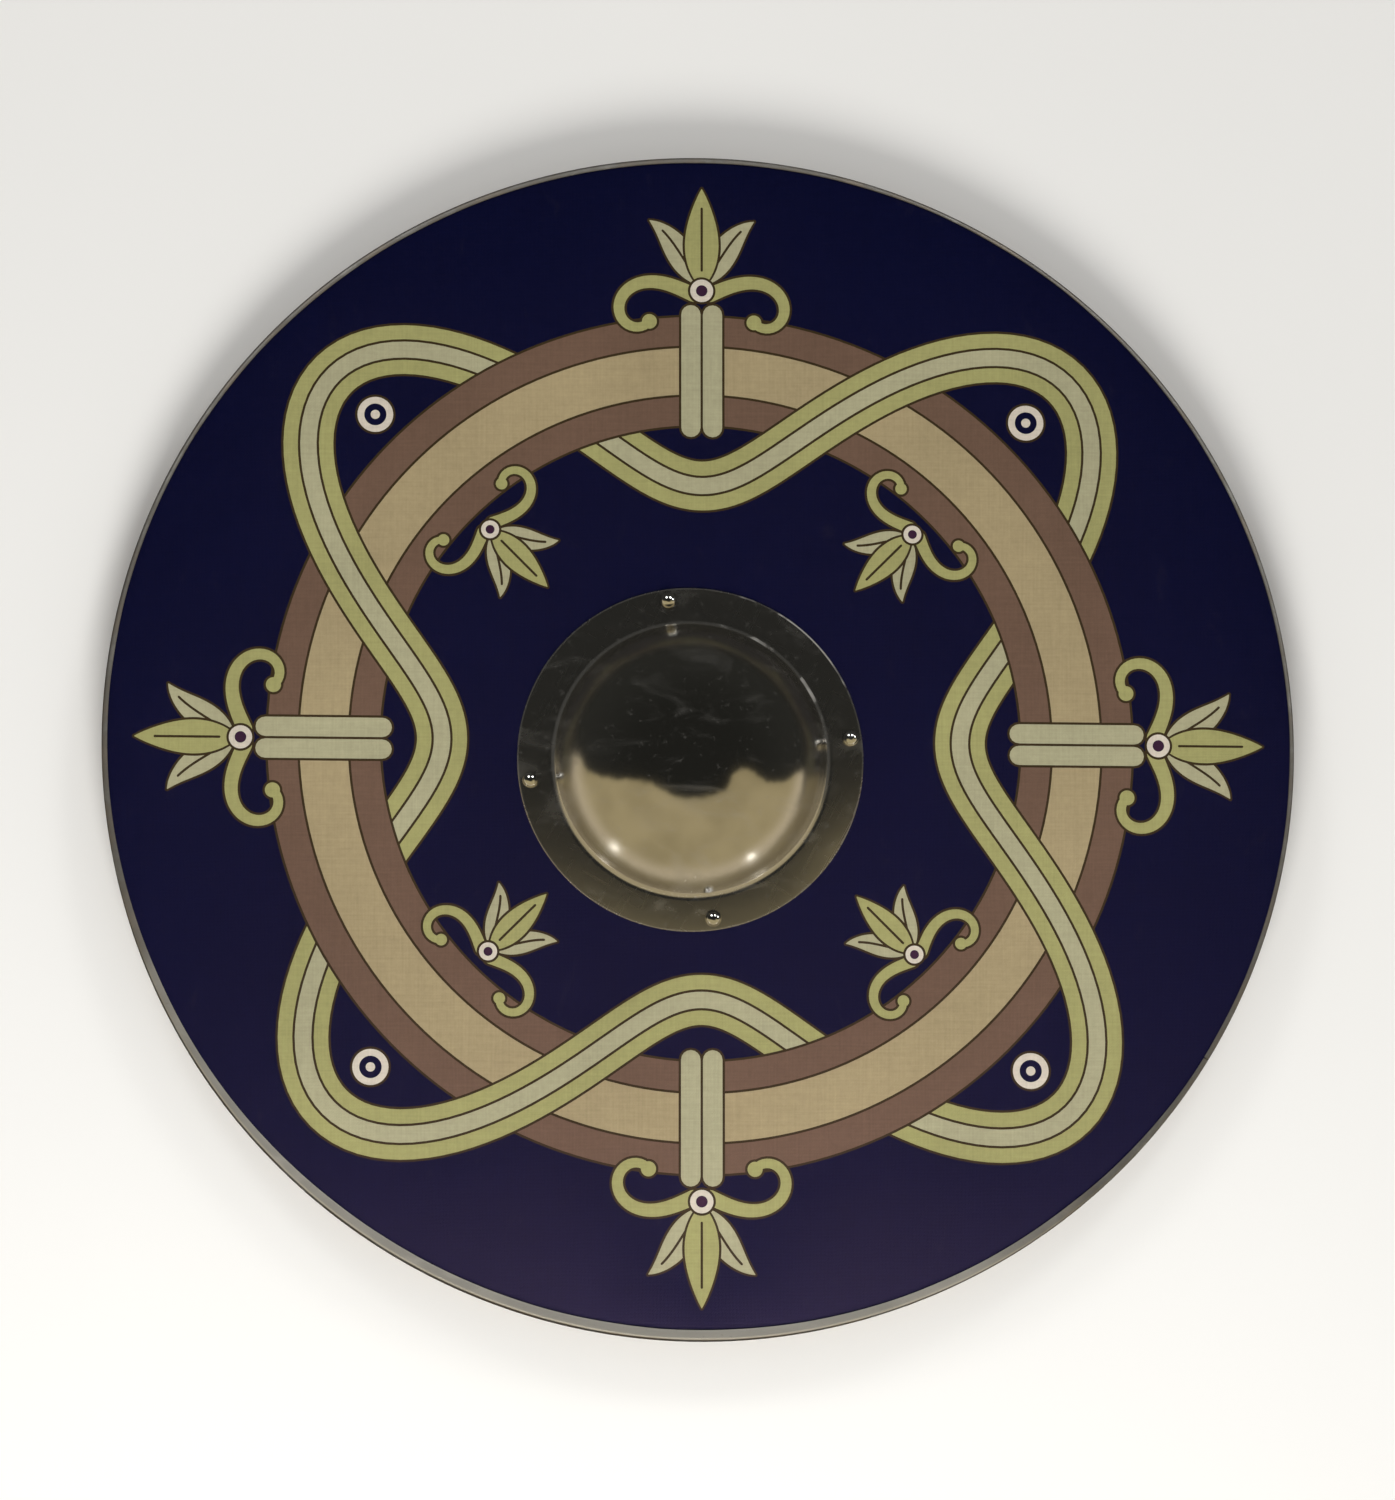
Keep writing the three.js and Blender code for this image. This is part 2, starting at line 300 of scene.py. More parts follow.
def make_paint_group(linen):
    """Flat paint on linen: it mottles, it is worn in places on the thread tops, and it has painted shade in
    the gaps between the threads.
    """
    tree, given, made = new_group(
        "Paint on linen",
        [
            ("Place", "vector", None),
            ("Paint", "colour", (0.5, 0.5, 0.5, 1)),
            ("Mottle", "value", 0.2),
            ("Rub", "value", 0.2),
        ],
        [("Colour", "colour"), ("Roughness", "value"), ("Height", "value")],
    )
    cloth = use_group(tree, linen, Place=given["Place"])
    broad = clouds(tree, given["Place"], 0.012, 4.0, 0.55)
    fine = clouds(tree, given["Place"], 0.35, 3.0, 0.6)
    tone = times_plus(tree, minus(tree, broad, 0.5), 1.2, 1.0)
    tone = times_plus(tree, minus(tree, fine, 0.5), 0.8, tone)
    tone = times_plus(tree, minus(tree, cloth["Slub"], 0.5), 1.4, tone)
    # Painted shade: darker in the gaps between the threads
    tone = times_plus(tree, cloth["Gap"], -0.35, tone)
    tone = times_plus(tree, minus(tree, tone, 1.0), given["Mottle"], 1.0)
    toned = vector_calc(tree, "SCALE", given["Paint"])
    wire(tree, tone, toned.node.inputs["Scale"])
    scuffs = clouds(tree, given["Place"], 0.06, 5.0, 0.65, stretch=(1.0, 0.5, 1.0), distortion=0.6)
    threads = minus(tree, 1.0, cloth["Gap"])
    wear_and_light = times(tree, ramp(tree, scuffs, 0.60, 0.74), threads)
    wear_and_light = times(tree, wear_and_light, given["Rub"])
    dusty = blend_colours(tree, wear_and_light, toned, (0.17, 0.14, 0.11, 1))
    wire(tree, dusty, made["Colour"])
    gloss = times_plus(tree, fine, 0.16, 0.40)
    wire(tree, times_plus(tree, wear_and_light, 0.5, gloss), made["Roughness"])
    wire(tree, cloth["Height"], made["Height"])
    return tree


def make_grain_group():
    """Wood grain along X: soft rings, fine fibres and short dark pores."""
    tree, given, made = new_group(
        "Wood grain",
        [
            ("Place", "vector", None),
            ("Light", "colour", (0.6, 0.4, 0.2, 1)),
            ("Dark", "colour", (0.3, 0.2, 0.1, 1)),
            ("Ring Spacing", "value", 6.0),
        ],
        [("Colour", "colour"), ("Roughness", "value"), ("Height", "value")],
    )
    sway = clouds(tree, given["Place"], 1.0, 2.0, 0.5, stretch=(0.005, 0.03, 0.03))
    x, y, z = split(tree, given["Place"])
    lift = times_plus(tree, sway, 60.0, y)
    lift = times_plus(tree, z, 0.7, lift)
    turns = calc(tree, "DIVIDE", lift, given["Ring Spacing"])
    rings = calc(tree, "POWER", calc(tree, "FRACT", turns), 2.2)
    fibres = clouds(tree, given["Place"], 1.0, 4.0, 0.65, stretch=(0.04, 1.6, 1.6))
    pores = clouds(tree, given["Place"], 1.0, 2.0, 0.5, stretch=(0.12, 3.0, 3.0))
    pore = ramp(tree, pores, 0.64, 0.72)
    shade = times_plus(tree, minus(tree, fibres, 0.5), 0.9, times(tree, rings, 0.55))
    shade = times_plus(tree, pore, 0.45, shade)
    mixed = blend_colours(tree, ramp(tree, shade, -0.15, 1.0), given["Light"], given["Dark"])
    wire(tree, mixed, made["Colour"])
    wire(tree, times_plus(tree, fibres, 0.3, 0.38), made["Roughness"])
    height = times_plus(tree, pore, -0.8, fibres)
    wire(tree, height, made["Height"])
    return tree


def make_steel_group():
    """Handled steel: cloudy smudges, hairline scratches and a broad unevenness."""
    tree, given, made = new_group(
        "Handled steel",
        [
            ("Place", "vector", None),
            ("Steel", "colour", (0.6, 0.6, 0.6, 1)),
            ("Polish", "value", 0.15),
            ("Smudge", "value", 0.2),
            ("Tarnish", "value", 0.1),
        ],
        [("Colour", "colour"), ("Roughness", "value"), ("Metal", "value"), ("Height", "value")],
    )
    smear = clouds(tree, given["Place"], 0.022, 5.0, 0.55, stretch=(1.0, 2.2, 1.0), distortion=1.2)
    haze = ramp(tree, smear, 0.50, 0.78)
    scratches = None
    for turn, stretch in ((0.5, (1.0, 0.012, 0.3)), (2.1, (1.0, 0.016, 0.3)), (3.6, (1.0, 0.02, 0.3))):
        node = tree.nodes.new("ShaderNodeVectorRotate")
        node.rotation_type = "Z_AXIS"
        feed(tree, node, Vector=given["Place"], Angle=turn)
        hair = clouds(tree, node.outputs[0], 1.3, 1.0, 0.5, stretch=stretch)
        line = ramp(tree, hair, 0.70, 0.76)
        scratches = line if scratches is None else calc(tree, "MAXIMUM", scratches, line)
    spots = ramp(tree, clouds(tree, given["Place"], 0.22, 4.0, 0.7), 0.58, 0.78)
    stain = times(tree, times_plus(tree, haze, 0.6, spots), given["Tarnish"])
    wire(tree, blend_colours(tree, stain, given["Steel"], (0.16, 0.12, 0.08, 1)), made["Colour"])
    rough = times_plus(tree, haze, given["Smudge"], given["Polish"])
    rough = times_plus(tree, times(tree, scratches, given["Smudge"]), 0.5, rough)
    wire(tree, calc(tree, "MINIMUM", rough, 1.0), made["Roughness"])
    wire(tree, minus(tree, 1.0, stain), made["Metal"])
    swell = clouds(tree, given["Place"], 0.035, 2.0, 0.5)
    height = times(tree, swell, 6.0)
    height = times_plus(tree, scratches, -0.04, height)
    height = times_plus(tree, clouds(tree, given["Place"], 1.2, 2.0, 0.5), 0.06, height)
    wire(tree, height, made["Height"])
    return tree


LINEN = make_linen_group()
PAINT = make_paint_group(LINEN)
GRAIN = make_grain_group()
STEEL = make_steel_group()


# Materials. Their places and lengths are in millimetres

PAINT_MOTTLE = 0.28
PAINT_RUB = 0.03
PAINT_GLOSS = 0.09
VARNISH_ROUGHNESS = 0.82
# Share of painted reflection in the board's colour as mirrors see it, and its colour above and below the boss
PAINTED_REFLECTION_SHARE = 0.85
PAINTED_REFLECTION_ABOVE = (0.037, 0.035, 0.030, 1)
PAINTED_REFLECTION_BELOW = (0.215, 0.175, 0.100, 1)
RIM_BARE_SHARE = 0.68
# Painted light: the rim's face is lighter on this side and painted darker on the others
RIM_LIT_SIDE = math.radians(255)
DOME_POLISH = 0.12
FOOT_POLISH = 0.20
FLANGE_SATIN = 0.25
FLANGE_SLOPE = 0.160
FLANGE_CURVE = 0.0014
# Painted highlight: the light scuffs on the foot and the edge are strongest on this side
BOSS_HIGHLIGHT_SIDE = math.radians(50)


def paint_material(name, colour):
    """The dome sees the board at a low angle. There the board's colour is mostly a painted reflection of the
    room in its varnish: dark above the boss, warm below.
    """
    material, tree, shader = new_material(name)
    made = use_group(
        tree, PAINT, Place=place_of(tree), Paint=(*colour, 1), Mottle=PAINT_MOTTLE, Rub=PAINT_RUB,
    )
    mirrored = tree.nodes.new("ShaderNodeLightPath").outputs["Is Glossy Ray"]
    _, y, distance = from_axis(tree, place_of(tree, BOSS_CENTRE))
    below = ramp(tree, calc(tree, "DIVIDE", y, distance), -0.14, -0.02, 1.0, 0.0)
    # Painted reflection of the room, seen only in mirrors
    painted_reflection = blend_colours(tree, below, PAINTED_REFLECTION_ABOVE, PAINTED_REFLECTION_BELOW)
    seen = blend_colours(tree, times(tree, mirrored, PAINTED_REFLECTION_SHARE), made["Colour"], painted_reflection)
    roughness = times(tree, made["Roughness"], VARNISH_ROUGHNESS)
    roughness = calc(tree, "MAXIMUM", roughness, mirrored)
    gloss = times_plus(tree, mirrored, -PAINT_GLOSS, PAINT_GLOSS)
    feed(tree, shader, Base_Color=seen, Roughness=roughness, Specular_IOR_Level=gloss)
    bump(tree, shader, made["Height"], 0.10)
    return material


def steel_material(name, colour, polish, smudge, tarnish, depth):
    material, tree, shader = new_material(name)
    made = use_group(
        tree, STEEL, Place=place_of(tree), Steel=(*colour, 1),
        Polish=polish, Smudge=smudge, Tarnish=tarnish,
    )
    feed(tree, shader, Base_Color=made["Colour"], Roughness=made["Roughness"], Metallic=made["Metal"])
    bump(tree, shader, made["Height"], depth)
    return material


def rim_material():
    """Steel with painted light: lighter low on the face, with painted shade on its other sides, darker on its
    outer side, and stained.
    """
    material, tree, shader = new_material("rim steel")
    place = place_of(tree)
    made = use_group(
        tree, STEEL, Place=place, Steel=(0.58, 0.56, 0.51, 1), Polish=0.40, Smudge=0.22, Tarnish=0.35,
    )
    x, y, distance = from_axis(tree, place)
    edge = RIM_RADIUS / MM
    # Darker on the outer side, and painted shade on the sides away from the lit lower side, broken up by
    # blotches and stains
    darkening = ramp(tree, distance, edge - 1.1, edge - 0.3)
    wear_and_light = facing(tree, x, y, distance, RIM_LIT_SIDE)
    blotches = clouds(tree, place, 0.02, 2.0, 0.6)
    painted_shade = ramp(tree, times_plus(tree, blotches, 0.5, wear_and_light), 0.70, 1.10, 0.78, 0.0)
    darkening = calc(tree, "MAXIMUM", darkening, painted_shade)
    stains = clouds(tree, place, 0.05, 4.0, 0.6, stretch=(1.0, 1.0, 3.0))
    darkening = times(tree, darkening, ramp(tree, stains, 0.25, 0.60, 0.70, 1.0))
    dark = blend_colours(tree, ramp(tree, stains, 0.40, 0.70), (0.022, 0.020, 0.018, 1), (0.13, 0.10, 0.07, 1))
    tone = blend_colours(tree, darkening, made["Colour"], dark)
    roughness = times_plus(tree, darkening, 0.15, made["Roughness"])
    metal = times(tree, made["Metal"], RIM_BARE_SHARE)
    feed(tree, shader, Base_Color=tone, Roughness=roughness, Metallic=metal)
    bump(tree, shader, made["Height"], 0.03)
    return material


def boss_material():
    """A polished dome on a satin, slightly crowned flange, with light scuffs along the foot and the edge that
    are partly wear and partly a painted highlight, strongest on one side.
    """
    material, tree, shader = new_material("boss steel")
    place = place_of(tree, BOSS_CENTRE)
    x, y, distance = from_axis(tree, place)
    foot, edge = BOSS_FOOT_RADIUS / MM, FLANGE_RADIUS / MM
    near_foot = ramp(tree, distance, foot - 24, foot - 6)
    on_flange = ramp(tree, distance, foot - 0.5, foot + 3.0)
    polish = times_plus(tree, near_foot, FOOT_POLISH - DOME_POLISH, DOME_POLISH)
    polish = times_plus(tree, on_flange, FLANGE_SATIN - FOOT_POLISH, polish)
    made = use_group(
        tree, STEEL, Place=place, Steel=(0.66, 0.64, 0.60, 1), Polish=polish, Smudge=0.065, Tarnish=0.08,
    )
    # Painted highlight: the light scuffs along the foot and the edge grow stronger towards one side
    wear_and_light = ramp(tree, facing(tree, x, y, distance, BOSS_HIGHLIGHT_SIDE), 0.82, 0.95)
    patches = ramp(tree, clouds(tree, place, 0.05, 2.0, 0.5), 0.46, 0.56)
    strength = times_plus(tree, times(tree, patches, wear_and_light), 0.60, 0.07)
    foot_ring = band(tree, distance, foot - 1.2, foot - 0.2, foot + 0.5, foot + 1.8)
    edge_ring = ramp(tree, distance, edge - 1.2, edge - 0.5)
    scuff_and_highlight = times(tree, calc(tree, "MAXIMUM", foot_ring, edge_ring), strength)
    tone = blend_colours(tree, scuff_and_highlight, made["Colour"], (0.84, 0.83, 0.79, 1))
    roughness = times_plus(tree, scuff_and_highlight, 0.3, made["Roughness"])
    bare = minus(tree, 1.0, times(tree, scuff_and_highlight, 0.75))
    metal = times(tree, made["Metal"], bare)
    feed(tree, shader, Base_Color=tone, Roughness=roughness, Metallic=metal)
    outward = calc(tree, "MAXIMUM", minus(tree, distance, foot + 3.0), 0.0)
    slope = times_plus(tree, outward, -FLANGE_CURVE, -FLANGE_SLOPE)
    crown = times(tree, outward, slope)
    height = times_plus(tree, made["Height"], 0.03, crown)
    bump(tree, shader, height, 1.0)
    return material


def wood_material(name, light, dark, spacing, turn, depth=0.15):
    material, tree, shader = new_material(name)
    made = use_group(
        tree, GRAIN, Place=place_of(tree, (0, 0, 0), turn), Light=(*light, 1), Dark=(*dark, 1),
        Ring_Spacing=spacing,
    )
    feed(tree, shader, Base_Color=made["Colour"], Roughness=made["Roughness"])
    bump(tree, shader, made["Height"], depth)
    return material


def ply_edge_material():
    """The cut edge of plywood: thin layers, light and dark in turn."""
    material, tree, shader = new_material("ply edge")
    place = place_of(tree, (0, 0, BOARD_BACK))
    _, _, z = split(tree, place)
    waver = clouds(tree, place, 0.08, 2.0)
    layers = calc(tree, "DIVIDE", times_plus(tree, waver, 0.5, z), PLY_THICKNESS / MM)
    dark = times(tree, calc(tree, "FRACT", times(tree, layers, 0.5)), 2.0)
    dark = ramp(tree, dark, 0.9, 1.1)
    fibres = clouds(tree, place, 1.0, 3.0, 0.6, stretch=(0.7, 0.7, 2.5))
    tone = blend_colours(tree, dark, (0.52, 0.36, 0.19, 1), (0.26, 0.15, 0.07, 1))
    tone = blend_colours(tree, ramp(tree, fibres, 0.45, 0.75, 0.0, 0.5), tone, (0.12, 0.07, 0.03, 1))
    feed(tree, shader, Base_Color=tone, Roughness=ramp(tree, fibres, 0.0, 1.0, 0.6, 0.9))
    bump(tree, shader, fibres, 0.3)
    return material


PAINTS = {
    "field navy": (0.0017, 0.0029, 0.0255),
    "mauve": (0.150, 0.091, 0.062),
    "tan": (0.375, 0.302, 0.170),
    "leaf green": (0.350, 0.340, 0.138),
    "pale green": (0.400, 0.382, 0.240),
    "off white": (0.640, 0.580, 0.490),
    "purple": (0.040, 0.014, 0.038),
    "outline": (0.040, 0.026, 0.010),
}
paint_materials = {name: paint_material(f"{name} paint", colour) for name, colour in PAINTS.items()}
PAINT_NAMES = list(PAINTS)
back_veneer = wood_material("birch veneer", (0.56, 0.40, 0.22), (0.36, 0.22, 0.10), 22.0, 0.0)
ply_edge = ply_edge_material()
grip_wood = wood_material("ash grip", (0.42, 0.26, 0.12), (0.19, 0.10, 0.04), 4.5, GRIP_ANGLE, 0.3)
rim_steel = rim_material()
boss_steel = boss_material()
rivet_steel = steel_material("rivet steel", (0.74, 0.73, 0.70), 0.10, 0.15, 0.08, 0.02)
rove_steel = steel_material("rove steel", (0.46, 0.45, 0.43), 0.42, 0.25, 0.35, 0.05)


# Helpers for pieces

def new_mesh(name, bm):
    """A mesh made from a bmesh, which is used up."""
    mesh = bpy.data.meshes.new(name)
    bm.to_mesh(mesh)
    bm.free()
    return mesh


def new_object(name, data):
    made = bpy.data.objects.new(name, data)
    bpy.context.collection.objects.link(made)
    return made


def finish_piece(bm, name, node, materials, sharp=35):
    """Turns a bmesh into a finished piece that stands for a node."""
    mesh = new_mesh(name, bm)
    for material in materials:
        mesh.materials.append(material)
    piece = new_object(name, mesh)
    mesh.shade_smooth()
    mesh.set_sharp_from_angle(angle=math.radians(sharp))
    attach(piece, "root")
    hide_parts(node)
    return piece


def arc(centre, radius, start, end, steps):
    """Points [distance from the axis, height] of an arc, with its angles in degrees."""
    points = []
    for i in range(steps + 1):
        angle = math.radians(start + (end - start) * i / steps)
        points.append((centre[0] + radius * math.cos(angle), centre[1] + radius * math.sin(angle)))
    return points


def moved_in(profile, thickness):
    """A sheet's other side: the profile moved to its left by the thickness."""
    moved = []
    last = len(profile) - 1
    for i, point in enumerate(profile):
        here = Vector(point)
        run_in = (here - Vector(profile[i - 1])).normalized() if i > 0 else None
        run_out = (Vector(profile[i + 1]) - here).normalized() if i < last else run_in
        run_in = run_in or run_out
        normal_in = Vector((-run_in.y, run_in.x))
        mitre = (normal_in + Vector((-run_out.y, run_out.x))).normalized()
        spot = here + mitre * (thickness / mitre.dot(normal_in))
        moved.append((max(spot.x, 0.0), spot.y))
    return moved


def spin_profile(bm, profile, centre, steps, closed=False, start=0.0, sweep=math.tau):
    """Spins a profile of (distance, height) points about an upright axis."""
    verts = []
    for distance, height in profile:
        spot = Vector((distance * math.cos(start), distance * math.sin(start), height))
        verts.append(bm.verts.new(Vector(centre) + spot))
    pairs = list(zip(verts, verts[1:] + verts[:1])) if closed else list(zip(verts, verts[1:]))
    edges = [bm.edges.new(pair) for pair in pairs]
    whole = abs(sweep - math.tau) < 1e-6
    bmesh.ops.spin(
        bm, geom=verts + edges, cent=centre, axis=UP, dvec=(0, 0, 0), angle=sweep,
        steps=steps, use_merge=whole, use_normal_flip=False, use_duplicate=False,
    )
    bmesh.ops.remove_doubles(bm, verts=bm.verts, dist=0.002 * MM)
    bmesh.ops.recalc_face_normals(bm, faces=bm.faces)


# The painted design, in millimetres from the board's centre

LINE = 1.4
# Makes a leaf widest at 0.42 of its length
LEAF_FULLNESS = math.log(0.5) / math.log(0.42)
LEAF_ROUNDNESS = 0.85
LEAF_TIP = 0.15
COLLAR_SPACING = 12.8
COLLAR_HALF_WIDTH = 5.7
COLLAR_REACHES = (-34, -12, 12, 34)
OUTER_PALMETTES = (267, 0.80)
INNER_PALMETTES = (178, 0.62)
PELLET_PLACE, PELLET_RADIUS = 272, 10.5
RING_RADIUS = 221
LOBE_SWING = 77
LOBE_FLATTENING = 8
RING_BANDS = (
    (-34.0, 34.0, "outline"),
    (-32.6, -15.4, "mauve"),
    (-14.0, 14.0, "tan"),
    (15.4, 32.6, "mauve"),
)
LOBE_BANDS = (
    (-16.0, 16.0, "outline"),
    (-14.6, -6.2, "leaf green"),
    (-4.8, 4.8, "pale green"),
    (6.2, 14.6, "leaf green"),
)


def turned(angle, length=1.0):
    return Vector((math.cos(angle), math.sin(angle))) * length


def ring_strand(angle):
    """A point of the round strand's middle line, and its outward direction."""
    return turned(angle, RING_RADIUS), turned(angle)


def lobed_strand(angle):
    """The same of the four-lobed strand, which swings out on the diagonals."""
    reach_here = RING_RADIUS - LOBE_SWING * math.cos(4 * angle) + LOBE_FLATTENING * math.cos(8 * angle)
    climb = 4 * LOBE_SWING * math.sin(4 * angle) - 8 * LOBE_FLATTENING * math.sin(8 * angle)
    run = turned(angle, climb) + turned(angle + math.pi / 2, reach_here)
    return turned(angle, reach_here), Vector((run.y, -run.x)).normalized()


def ribbon(strand, start, end, inner, outer, steps):
    """A length of strand between two offsets from its middle line."""
    near, far = [], []
    for i in range(steps + 1):
        point, outward = strand(start + (end - start) * i / steps)
        near.append(point + outward * inner)
        far.append(point + outward * outer)
    return near + far[::-1]


def bent_line(start, heading, length, turn_start, turn_end, count):
    """A line whose bend grows evenly from one rate to another, in degrees per millimetre."""
    step = length / count
    points = [Vector(start)]
    for i in range(count):
        rate = turn_start + (turn_end - turn_start) * (i + 0.5) / count
        heading += math.radians(rate) * step
        points.append(points[-1] + turned(heading, step))
    return points


def stroke(spine, half_widths, cap_steps=8):
    """A brush stroke along a spine, with its half width at each point. No cap steps leave its ends square."""
    last = len(spine) - 1
    right, left = [], []
    for i, point in enumerate(spine):
        run = (spine[min(i + 1, last)] - spine[max(i - 1, 0)]).normalized()
        side = Vector((-run.y, run.x)) * half_widths[i]
        right.append(point - side)
        left.append(point + side)
    caps = []
    for here, inside, width in (
        (spine[-1], spine[-2], half_widths[-1]),
        (spine[0], spine[1], half_widths[0]),
    ):
        outward = here - inside
        heading = math.atan2(outward.y, outward.x) - math.pi / 2
        caps.append([here + turned(heading + math.pi * i / cap_steps, width) for i in range(1, cap_steps)])
    return right + caps[0] + left[::-1] + caps[1]


def disc(centre, radius, steps=40):
    return [Vector(centre) + turned(math.tau * i / steps, radius) for i in range(steps)]


class Design:
    """Layers of flat paint, each over the ones before it."""

    def __init__(self):
        self.layers = []

    def paint(self, name, outline):
        area = sum(a.x * b.y - b.x * a.y for a, b in zip(outline, outline[1:] + outline[:1]))
        self.layers.append((name, outline if area > 0 else outline[::-1]))

    def leaf(self, name, spine, width):
        """A pointed leaf with an outline and a vein."""
        last = len(spine) - 1
        widths = [0.0] * (last + 1)
        for i in range(1, last):
            widths[i] = width / 2 * math.sin(math.pi * (i / last) ** LEAF_FULLNESS) ** LEAF_ROUNDNESS
        self.paint("outline", stroke(spine, [w + LINE for w in widths]))
        self.paint(name, stroke(spine, [max(w, LEAF_TIP) for w in widths], 0))
        vein = spine[last // 6: last * 5 // 6]
        self.paint("outline", stroke(vein, [LINE / 2] * len(vein), 4))

    def tendril(self, name, spine, start_width, end_width, bulb):
        """A curling stem that ends in a round bulb."""
        last = len(spine) - 1
        widths = [(start_width + (end_width - start_width) * i / last) / 2 for i in range(last + 1)]
        self.paint("outline", stroke(spine, [w + LINE for w in widths]))
        self.paint("outline", disc(spine[-1], bulb + LINE))
        self.paint(name, stroke(spine, widths))
        self.paint(name, disc(spine[-1], bulb))

    def pellet(self, centre, radius, *names):
        """Nested discs, each a share of the first."""
        self.paint("outline", disc(centre, radius + LINE))
        for name, share in names:
            self.paint(name, disc(centre, radius * share))


def paint_interlace(design):
    """The round strand and the lobed one, over and under in turn."""
    eighth = math.tau / 8
    for k in range(8):
        strands = [(lobed_strand, LOBE_BANDS, 40), (ring_strand, RING_BANDS, 24)]
        if k % 2:
            strands.reverse()
        for strand, bands, steps in strands:
            for inner, outer, name in bands:
                design.paint(name, ribbon(strand, k * eighth, (k + 1) * eighth, inner, outer, steps))


def paint_collars(design, angle):
    """Two bars side by side across the round strand."""
    outward, sideways = turned(angle), turned(angle + math.pi / 2)
    for shift in (-COLLAR_SPACING / 2, COLLAR_SPACING / 2):
        centre = outward * RING_RADIUS + sideways * shift
        spine = [centre + outward * reach_here for reach_here in COLLAR_REACHES]
        design.paint("outline", stroke(spine, [COLLAR_HALF_WIDTH + LINE] * len(spine)))
        design.paint("pale green", stroke(spine, [COLLAR_HALF_WIDTH] * len(spine)))


def paint_palmette(design, base, heading, size):
    """A spray of leaves and curling stems that grows from a base."""
    base = Vector(base)
    for side in (1, -1):
        start = base + turned(heading + side * math.pi / 2, 6 * size)
        stem = bent_line(start, heading + side * 1.15, 100 * size, side * -0.2 / size, side * 5.2 / size, 40)
        design.tendril("leaf green", stem, 11 * size, 6.5 * size, 5.5 * size)
    for side in (1, -1):
        start = base + turned(heading, 8 * size)
        spine = bent_line(start, heading + side * 0.75, 62 * size, side * -0.9 / size, side * 1.4 / size, 30)
        design.leaf("pale green", spine, 20 * size)
    spine = bent_line(base + turned(heading, 6 * size), heading, 74 * size, 0, 0, 30)
    design.leaf("leaf green", spine, 25 * size)
    design.pellet(base + turned(heading, 3 * size), 8.5 * size, ("off white", 1.0), ("purple", 0.5))


def make_design():
    """Palmettes and collars on the upright and level lines, palmettes and pellets on the diagonals."""
    design = Design()
    paint_interlace(design)
    outer_place, outer_size = OUTER_PALMETTES
    inner_place, inner_size = INNER_PALMETTES
    eye = ("off white", 1.0), ("field navy", 0.62), ("off white", 0.26)
    for k in range(4):
        axis = k * math.tau / 4
        diagonal = axis + math.tau / 8
        paint_collars(design, axis)
        paint_palmette(design, turned(axis, outer_place), axis, outer_size)
        design.pellet(turned(diagonal, PELLET_PLACE), PELLET_RADIUS, *eye)
        paint_palmette(design, turned(diagonal, inner_place), diagonal + math.pi, inner_size)
    return design


# The board

def make_board():
    """A painted front, a rounded plywood edge, a hand hole, rivet holes and a plain back."""
    front_radius = (BOARD_RADIUS - BOARD_EDGE_ROUND) / MM
    openings = [disc(BOSS_CENTRE.xy / MM, HAND_HOLE_RADIUS / MM, 96)]
    openings += [disc(spot.xy / MM, RIVET_HOLE_RADIUS / MM, 24) for spot in RIVET_SPOTS.values()]
    layers = [("field navy", disc((0, 0), front_radius, 264))] + make_design().layers
    layers += [("opening", outline) for outline in openings]
    points, outlines = [], []
    for _, outline in layers:
        outlines.append(list(range(len(points), len(points) + len(outline))))
        points.extend(outline)
    spots, _, faces, _, _, sources = delaunay_2d_cdt(points, [], outlines, 1, 1e-4)
    bm = bmesh.new()
    verts = [bm.verts.new((spot.x * MM, spot.y * MM, BOARD_FRONT)) for spot in spots]
    for face, source in zip(faces, sources):
        name = layers[max(source)][0] if source else "opening"
        if name != "opening":
            bm.faces.new([verts[i] for i in face]).material_index = PAINT_NAMES.index(name)
    bmesh.ops.delete(bm, geom=[v for v in bm.verts if not v.link_faces], context="VERTS")
    boundary = [edge for edge in bm.edges if edge.is_boundary]
    well_out = 0.9 * BOARD_RADIUS
    rim_edges = [edge for edge in boundary if edge.verts[0].co.xy.length > well_out]
    hole_edges = [edge for edge in boundary if edge.verts[0].co.xy.length <= well_out]
    edge_index = len(PAINT_NAMES)

    def extrude_down(edges, radius, height):
        made = bmesh.ops.extrude_edge_only(bm, edges=edges)["geom"]
        for vert in (item for item in made if isinstance(item, bmesh.types.BMVert)):
            if radius is not None:
                vert.co.xy = vert.co.xy.normalized() * radius
            vert.co.z = height
        for face in (item for item in made if isinstance(item, bmesh.types.BMFace)):
            face.material_index = edge_index
        return [item for item in made if isinstance(item, bmesh.types.BMEdge)
                and all(abs(vert.co.z - height) < 1e-7 for vert in item.verts)]

    soft = BOARD_EDGE_ROUND
    edge_profile = arc((BOARD_RADIUS - soft, BOARD_FRONT - soft), soft, 90, 0, 4)
    edge_profile += arc((BOARD_RADIUS - soft, BOARD_BACK + soft), soft, 0, -90, 4)
    for radius, height in edge_profile[1:]:
        rim_edges = extrude_down(rim_edges, radius, height)
    hole_edges = extrude_down(hole_edges, None, BOARD_BACK)
    made = bmesh.ops.triangle_fill(bm, use_beauty=True, use_dissolve=False, edges=rim_edges + hole_edges)
    for item in made["geom"]:
        if isinstance(item, bmesh.types.BMFace):
            item.material_index = edge_index + 1
    bmesh.ops.recalc_face_normals(bm, faces=bm.faces)
    materials = [paint_materials[name] for name in PAINT_NAMES] + [ply_edge, back_veneer]
    return finish_piece(bm, "painted_board", "board", materials, 30)


# The rim

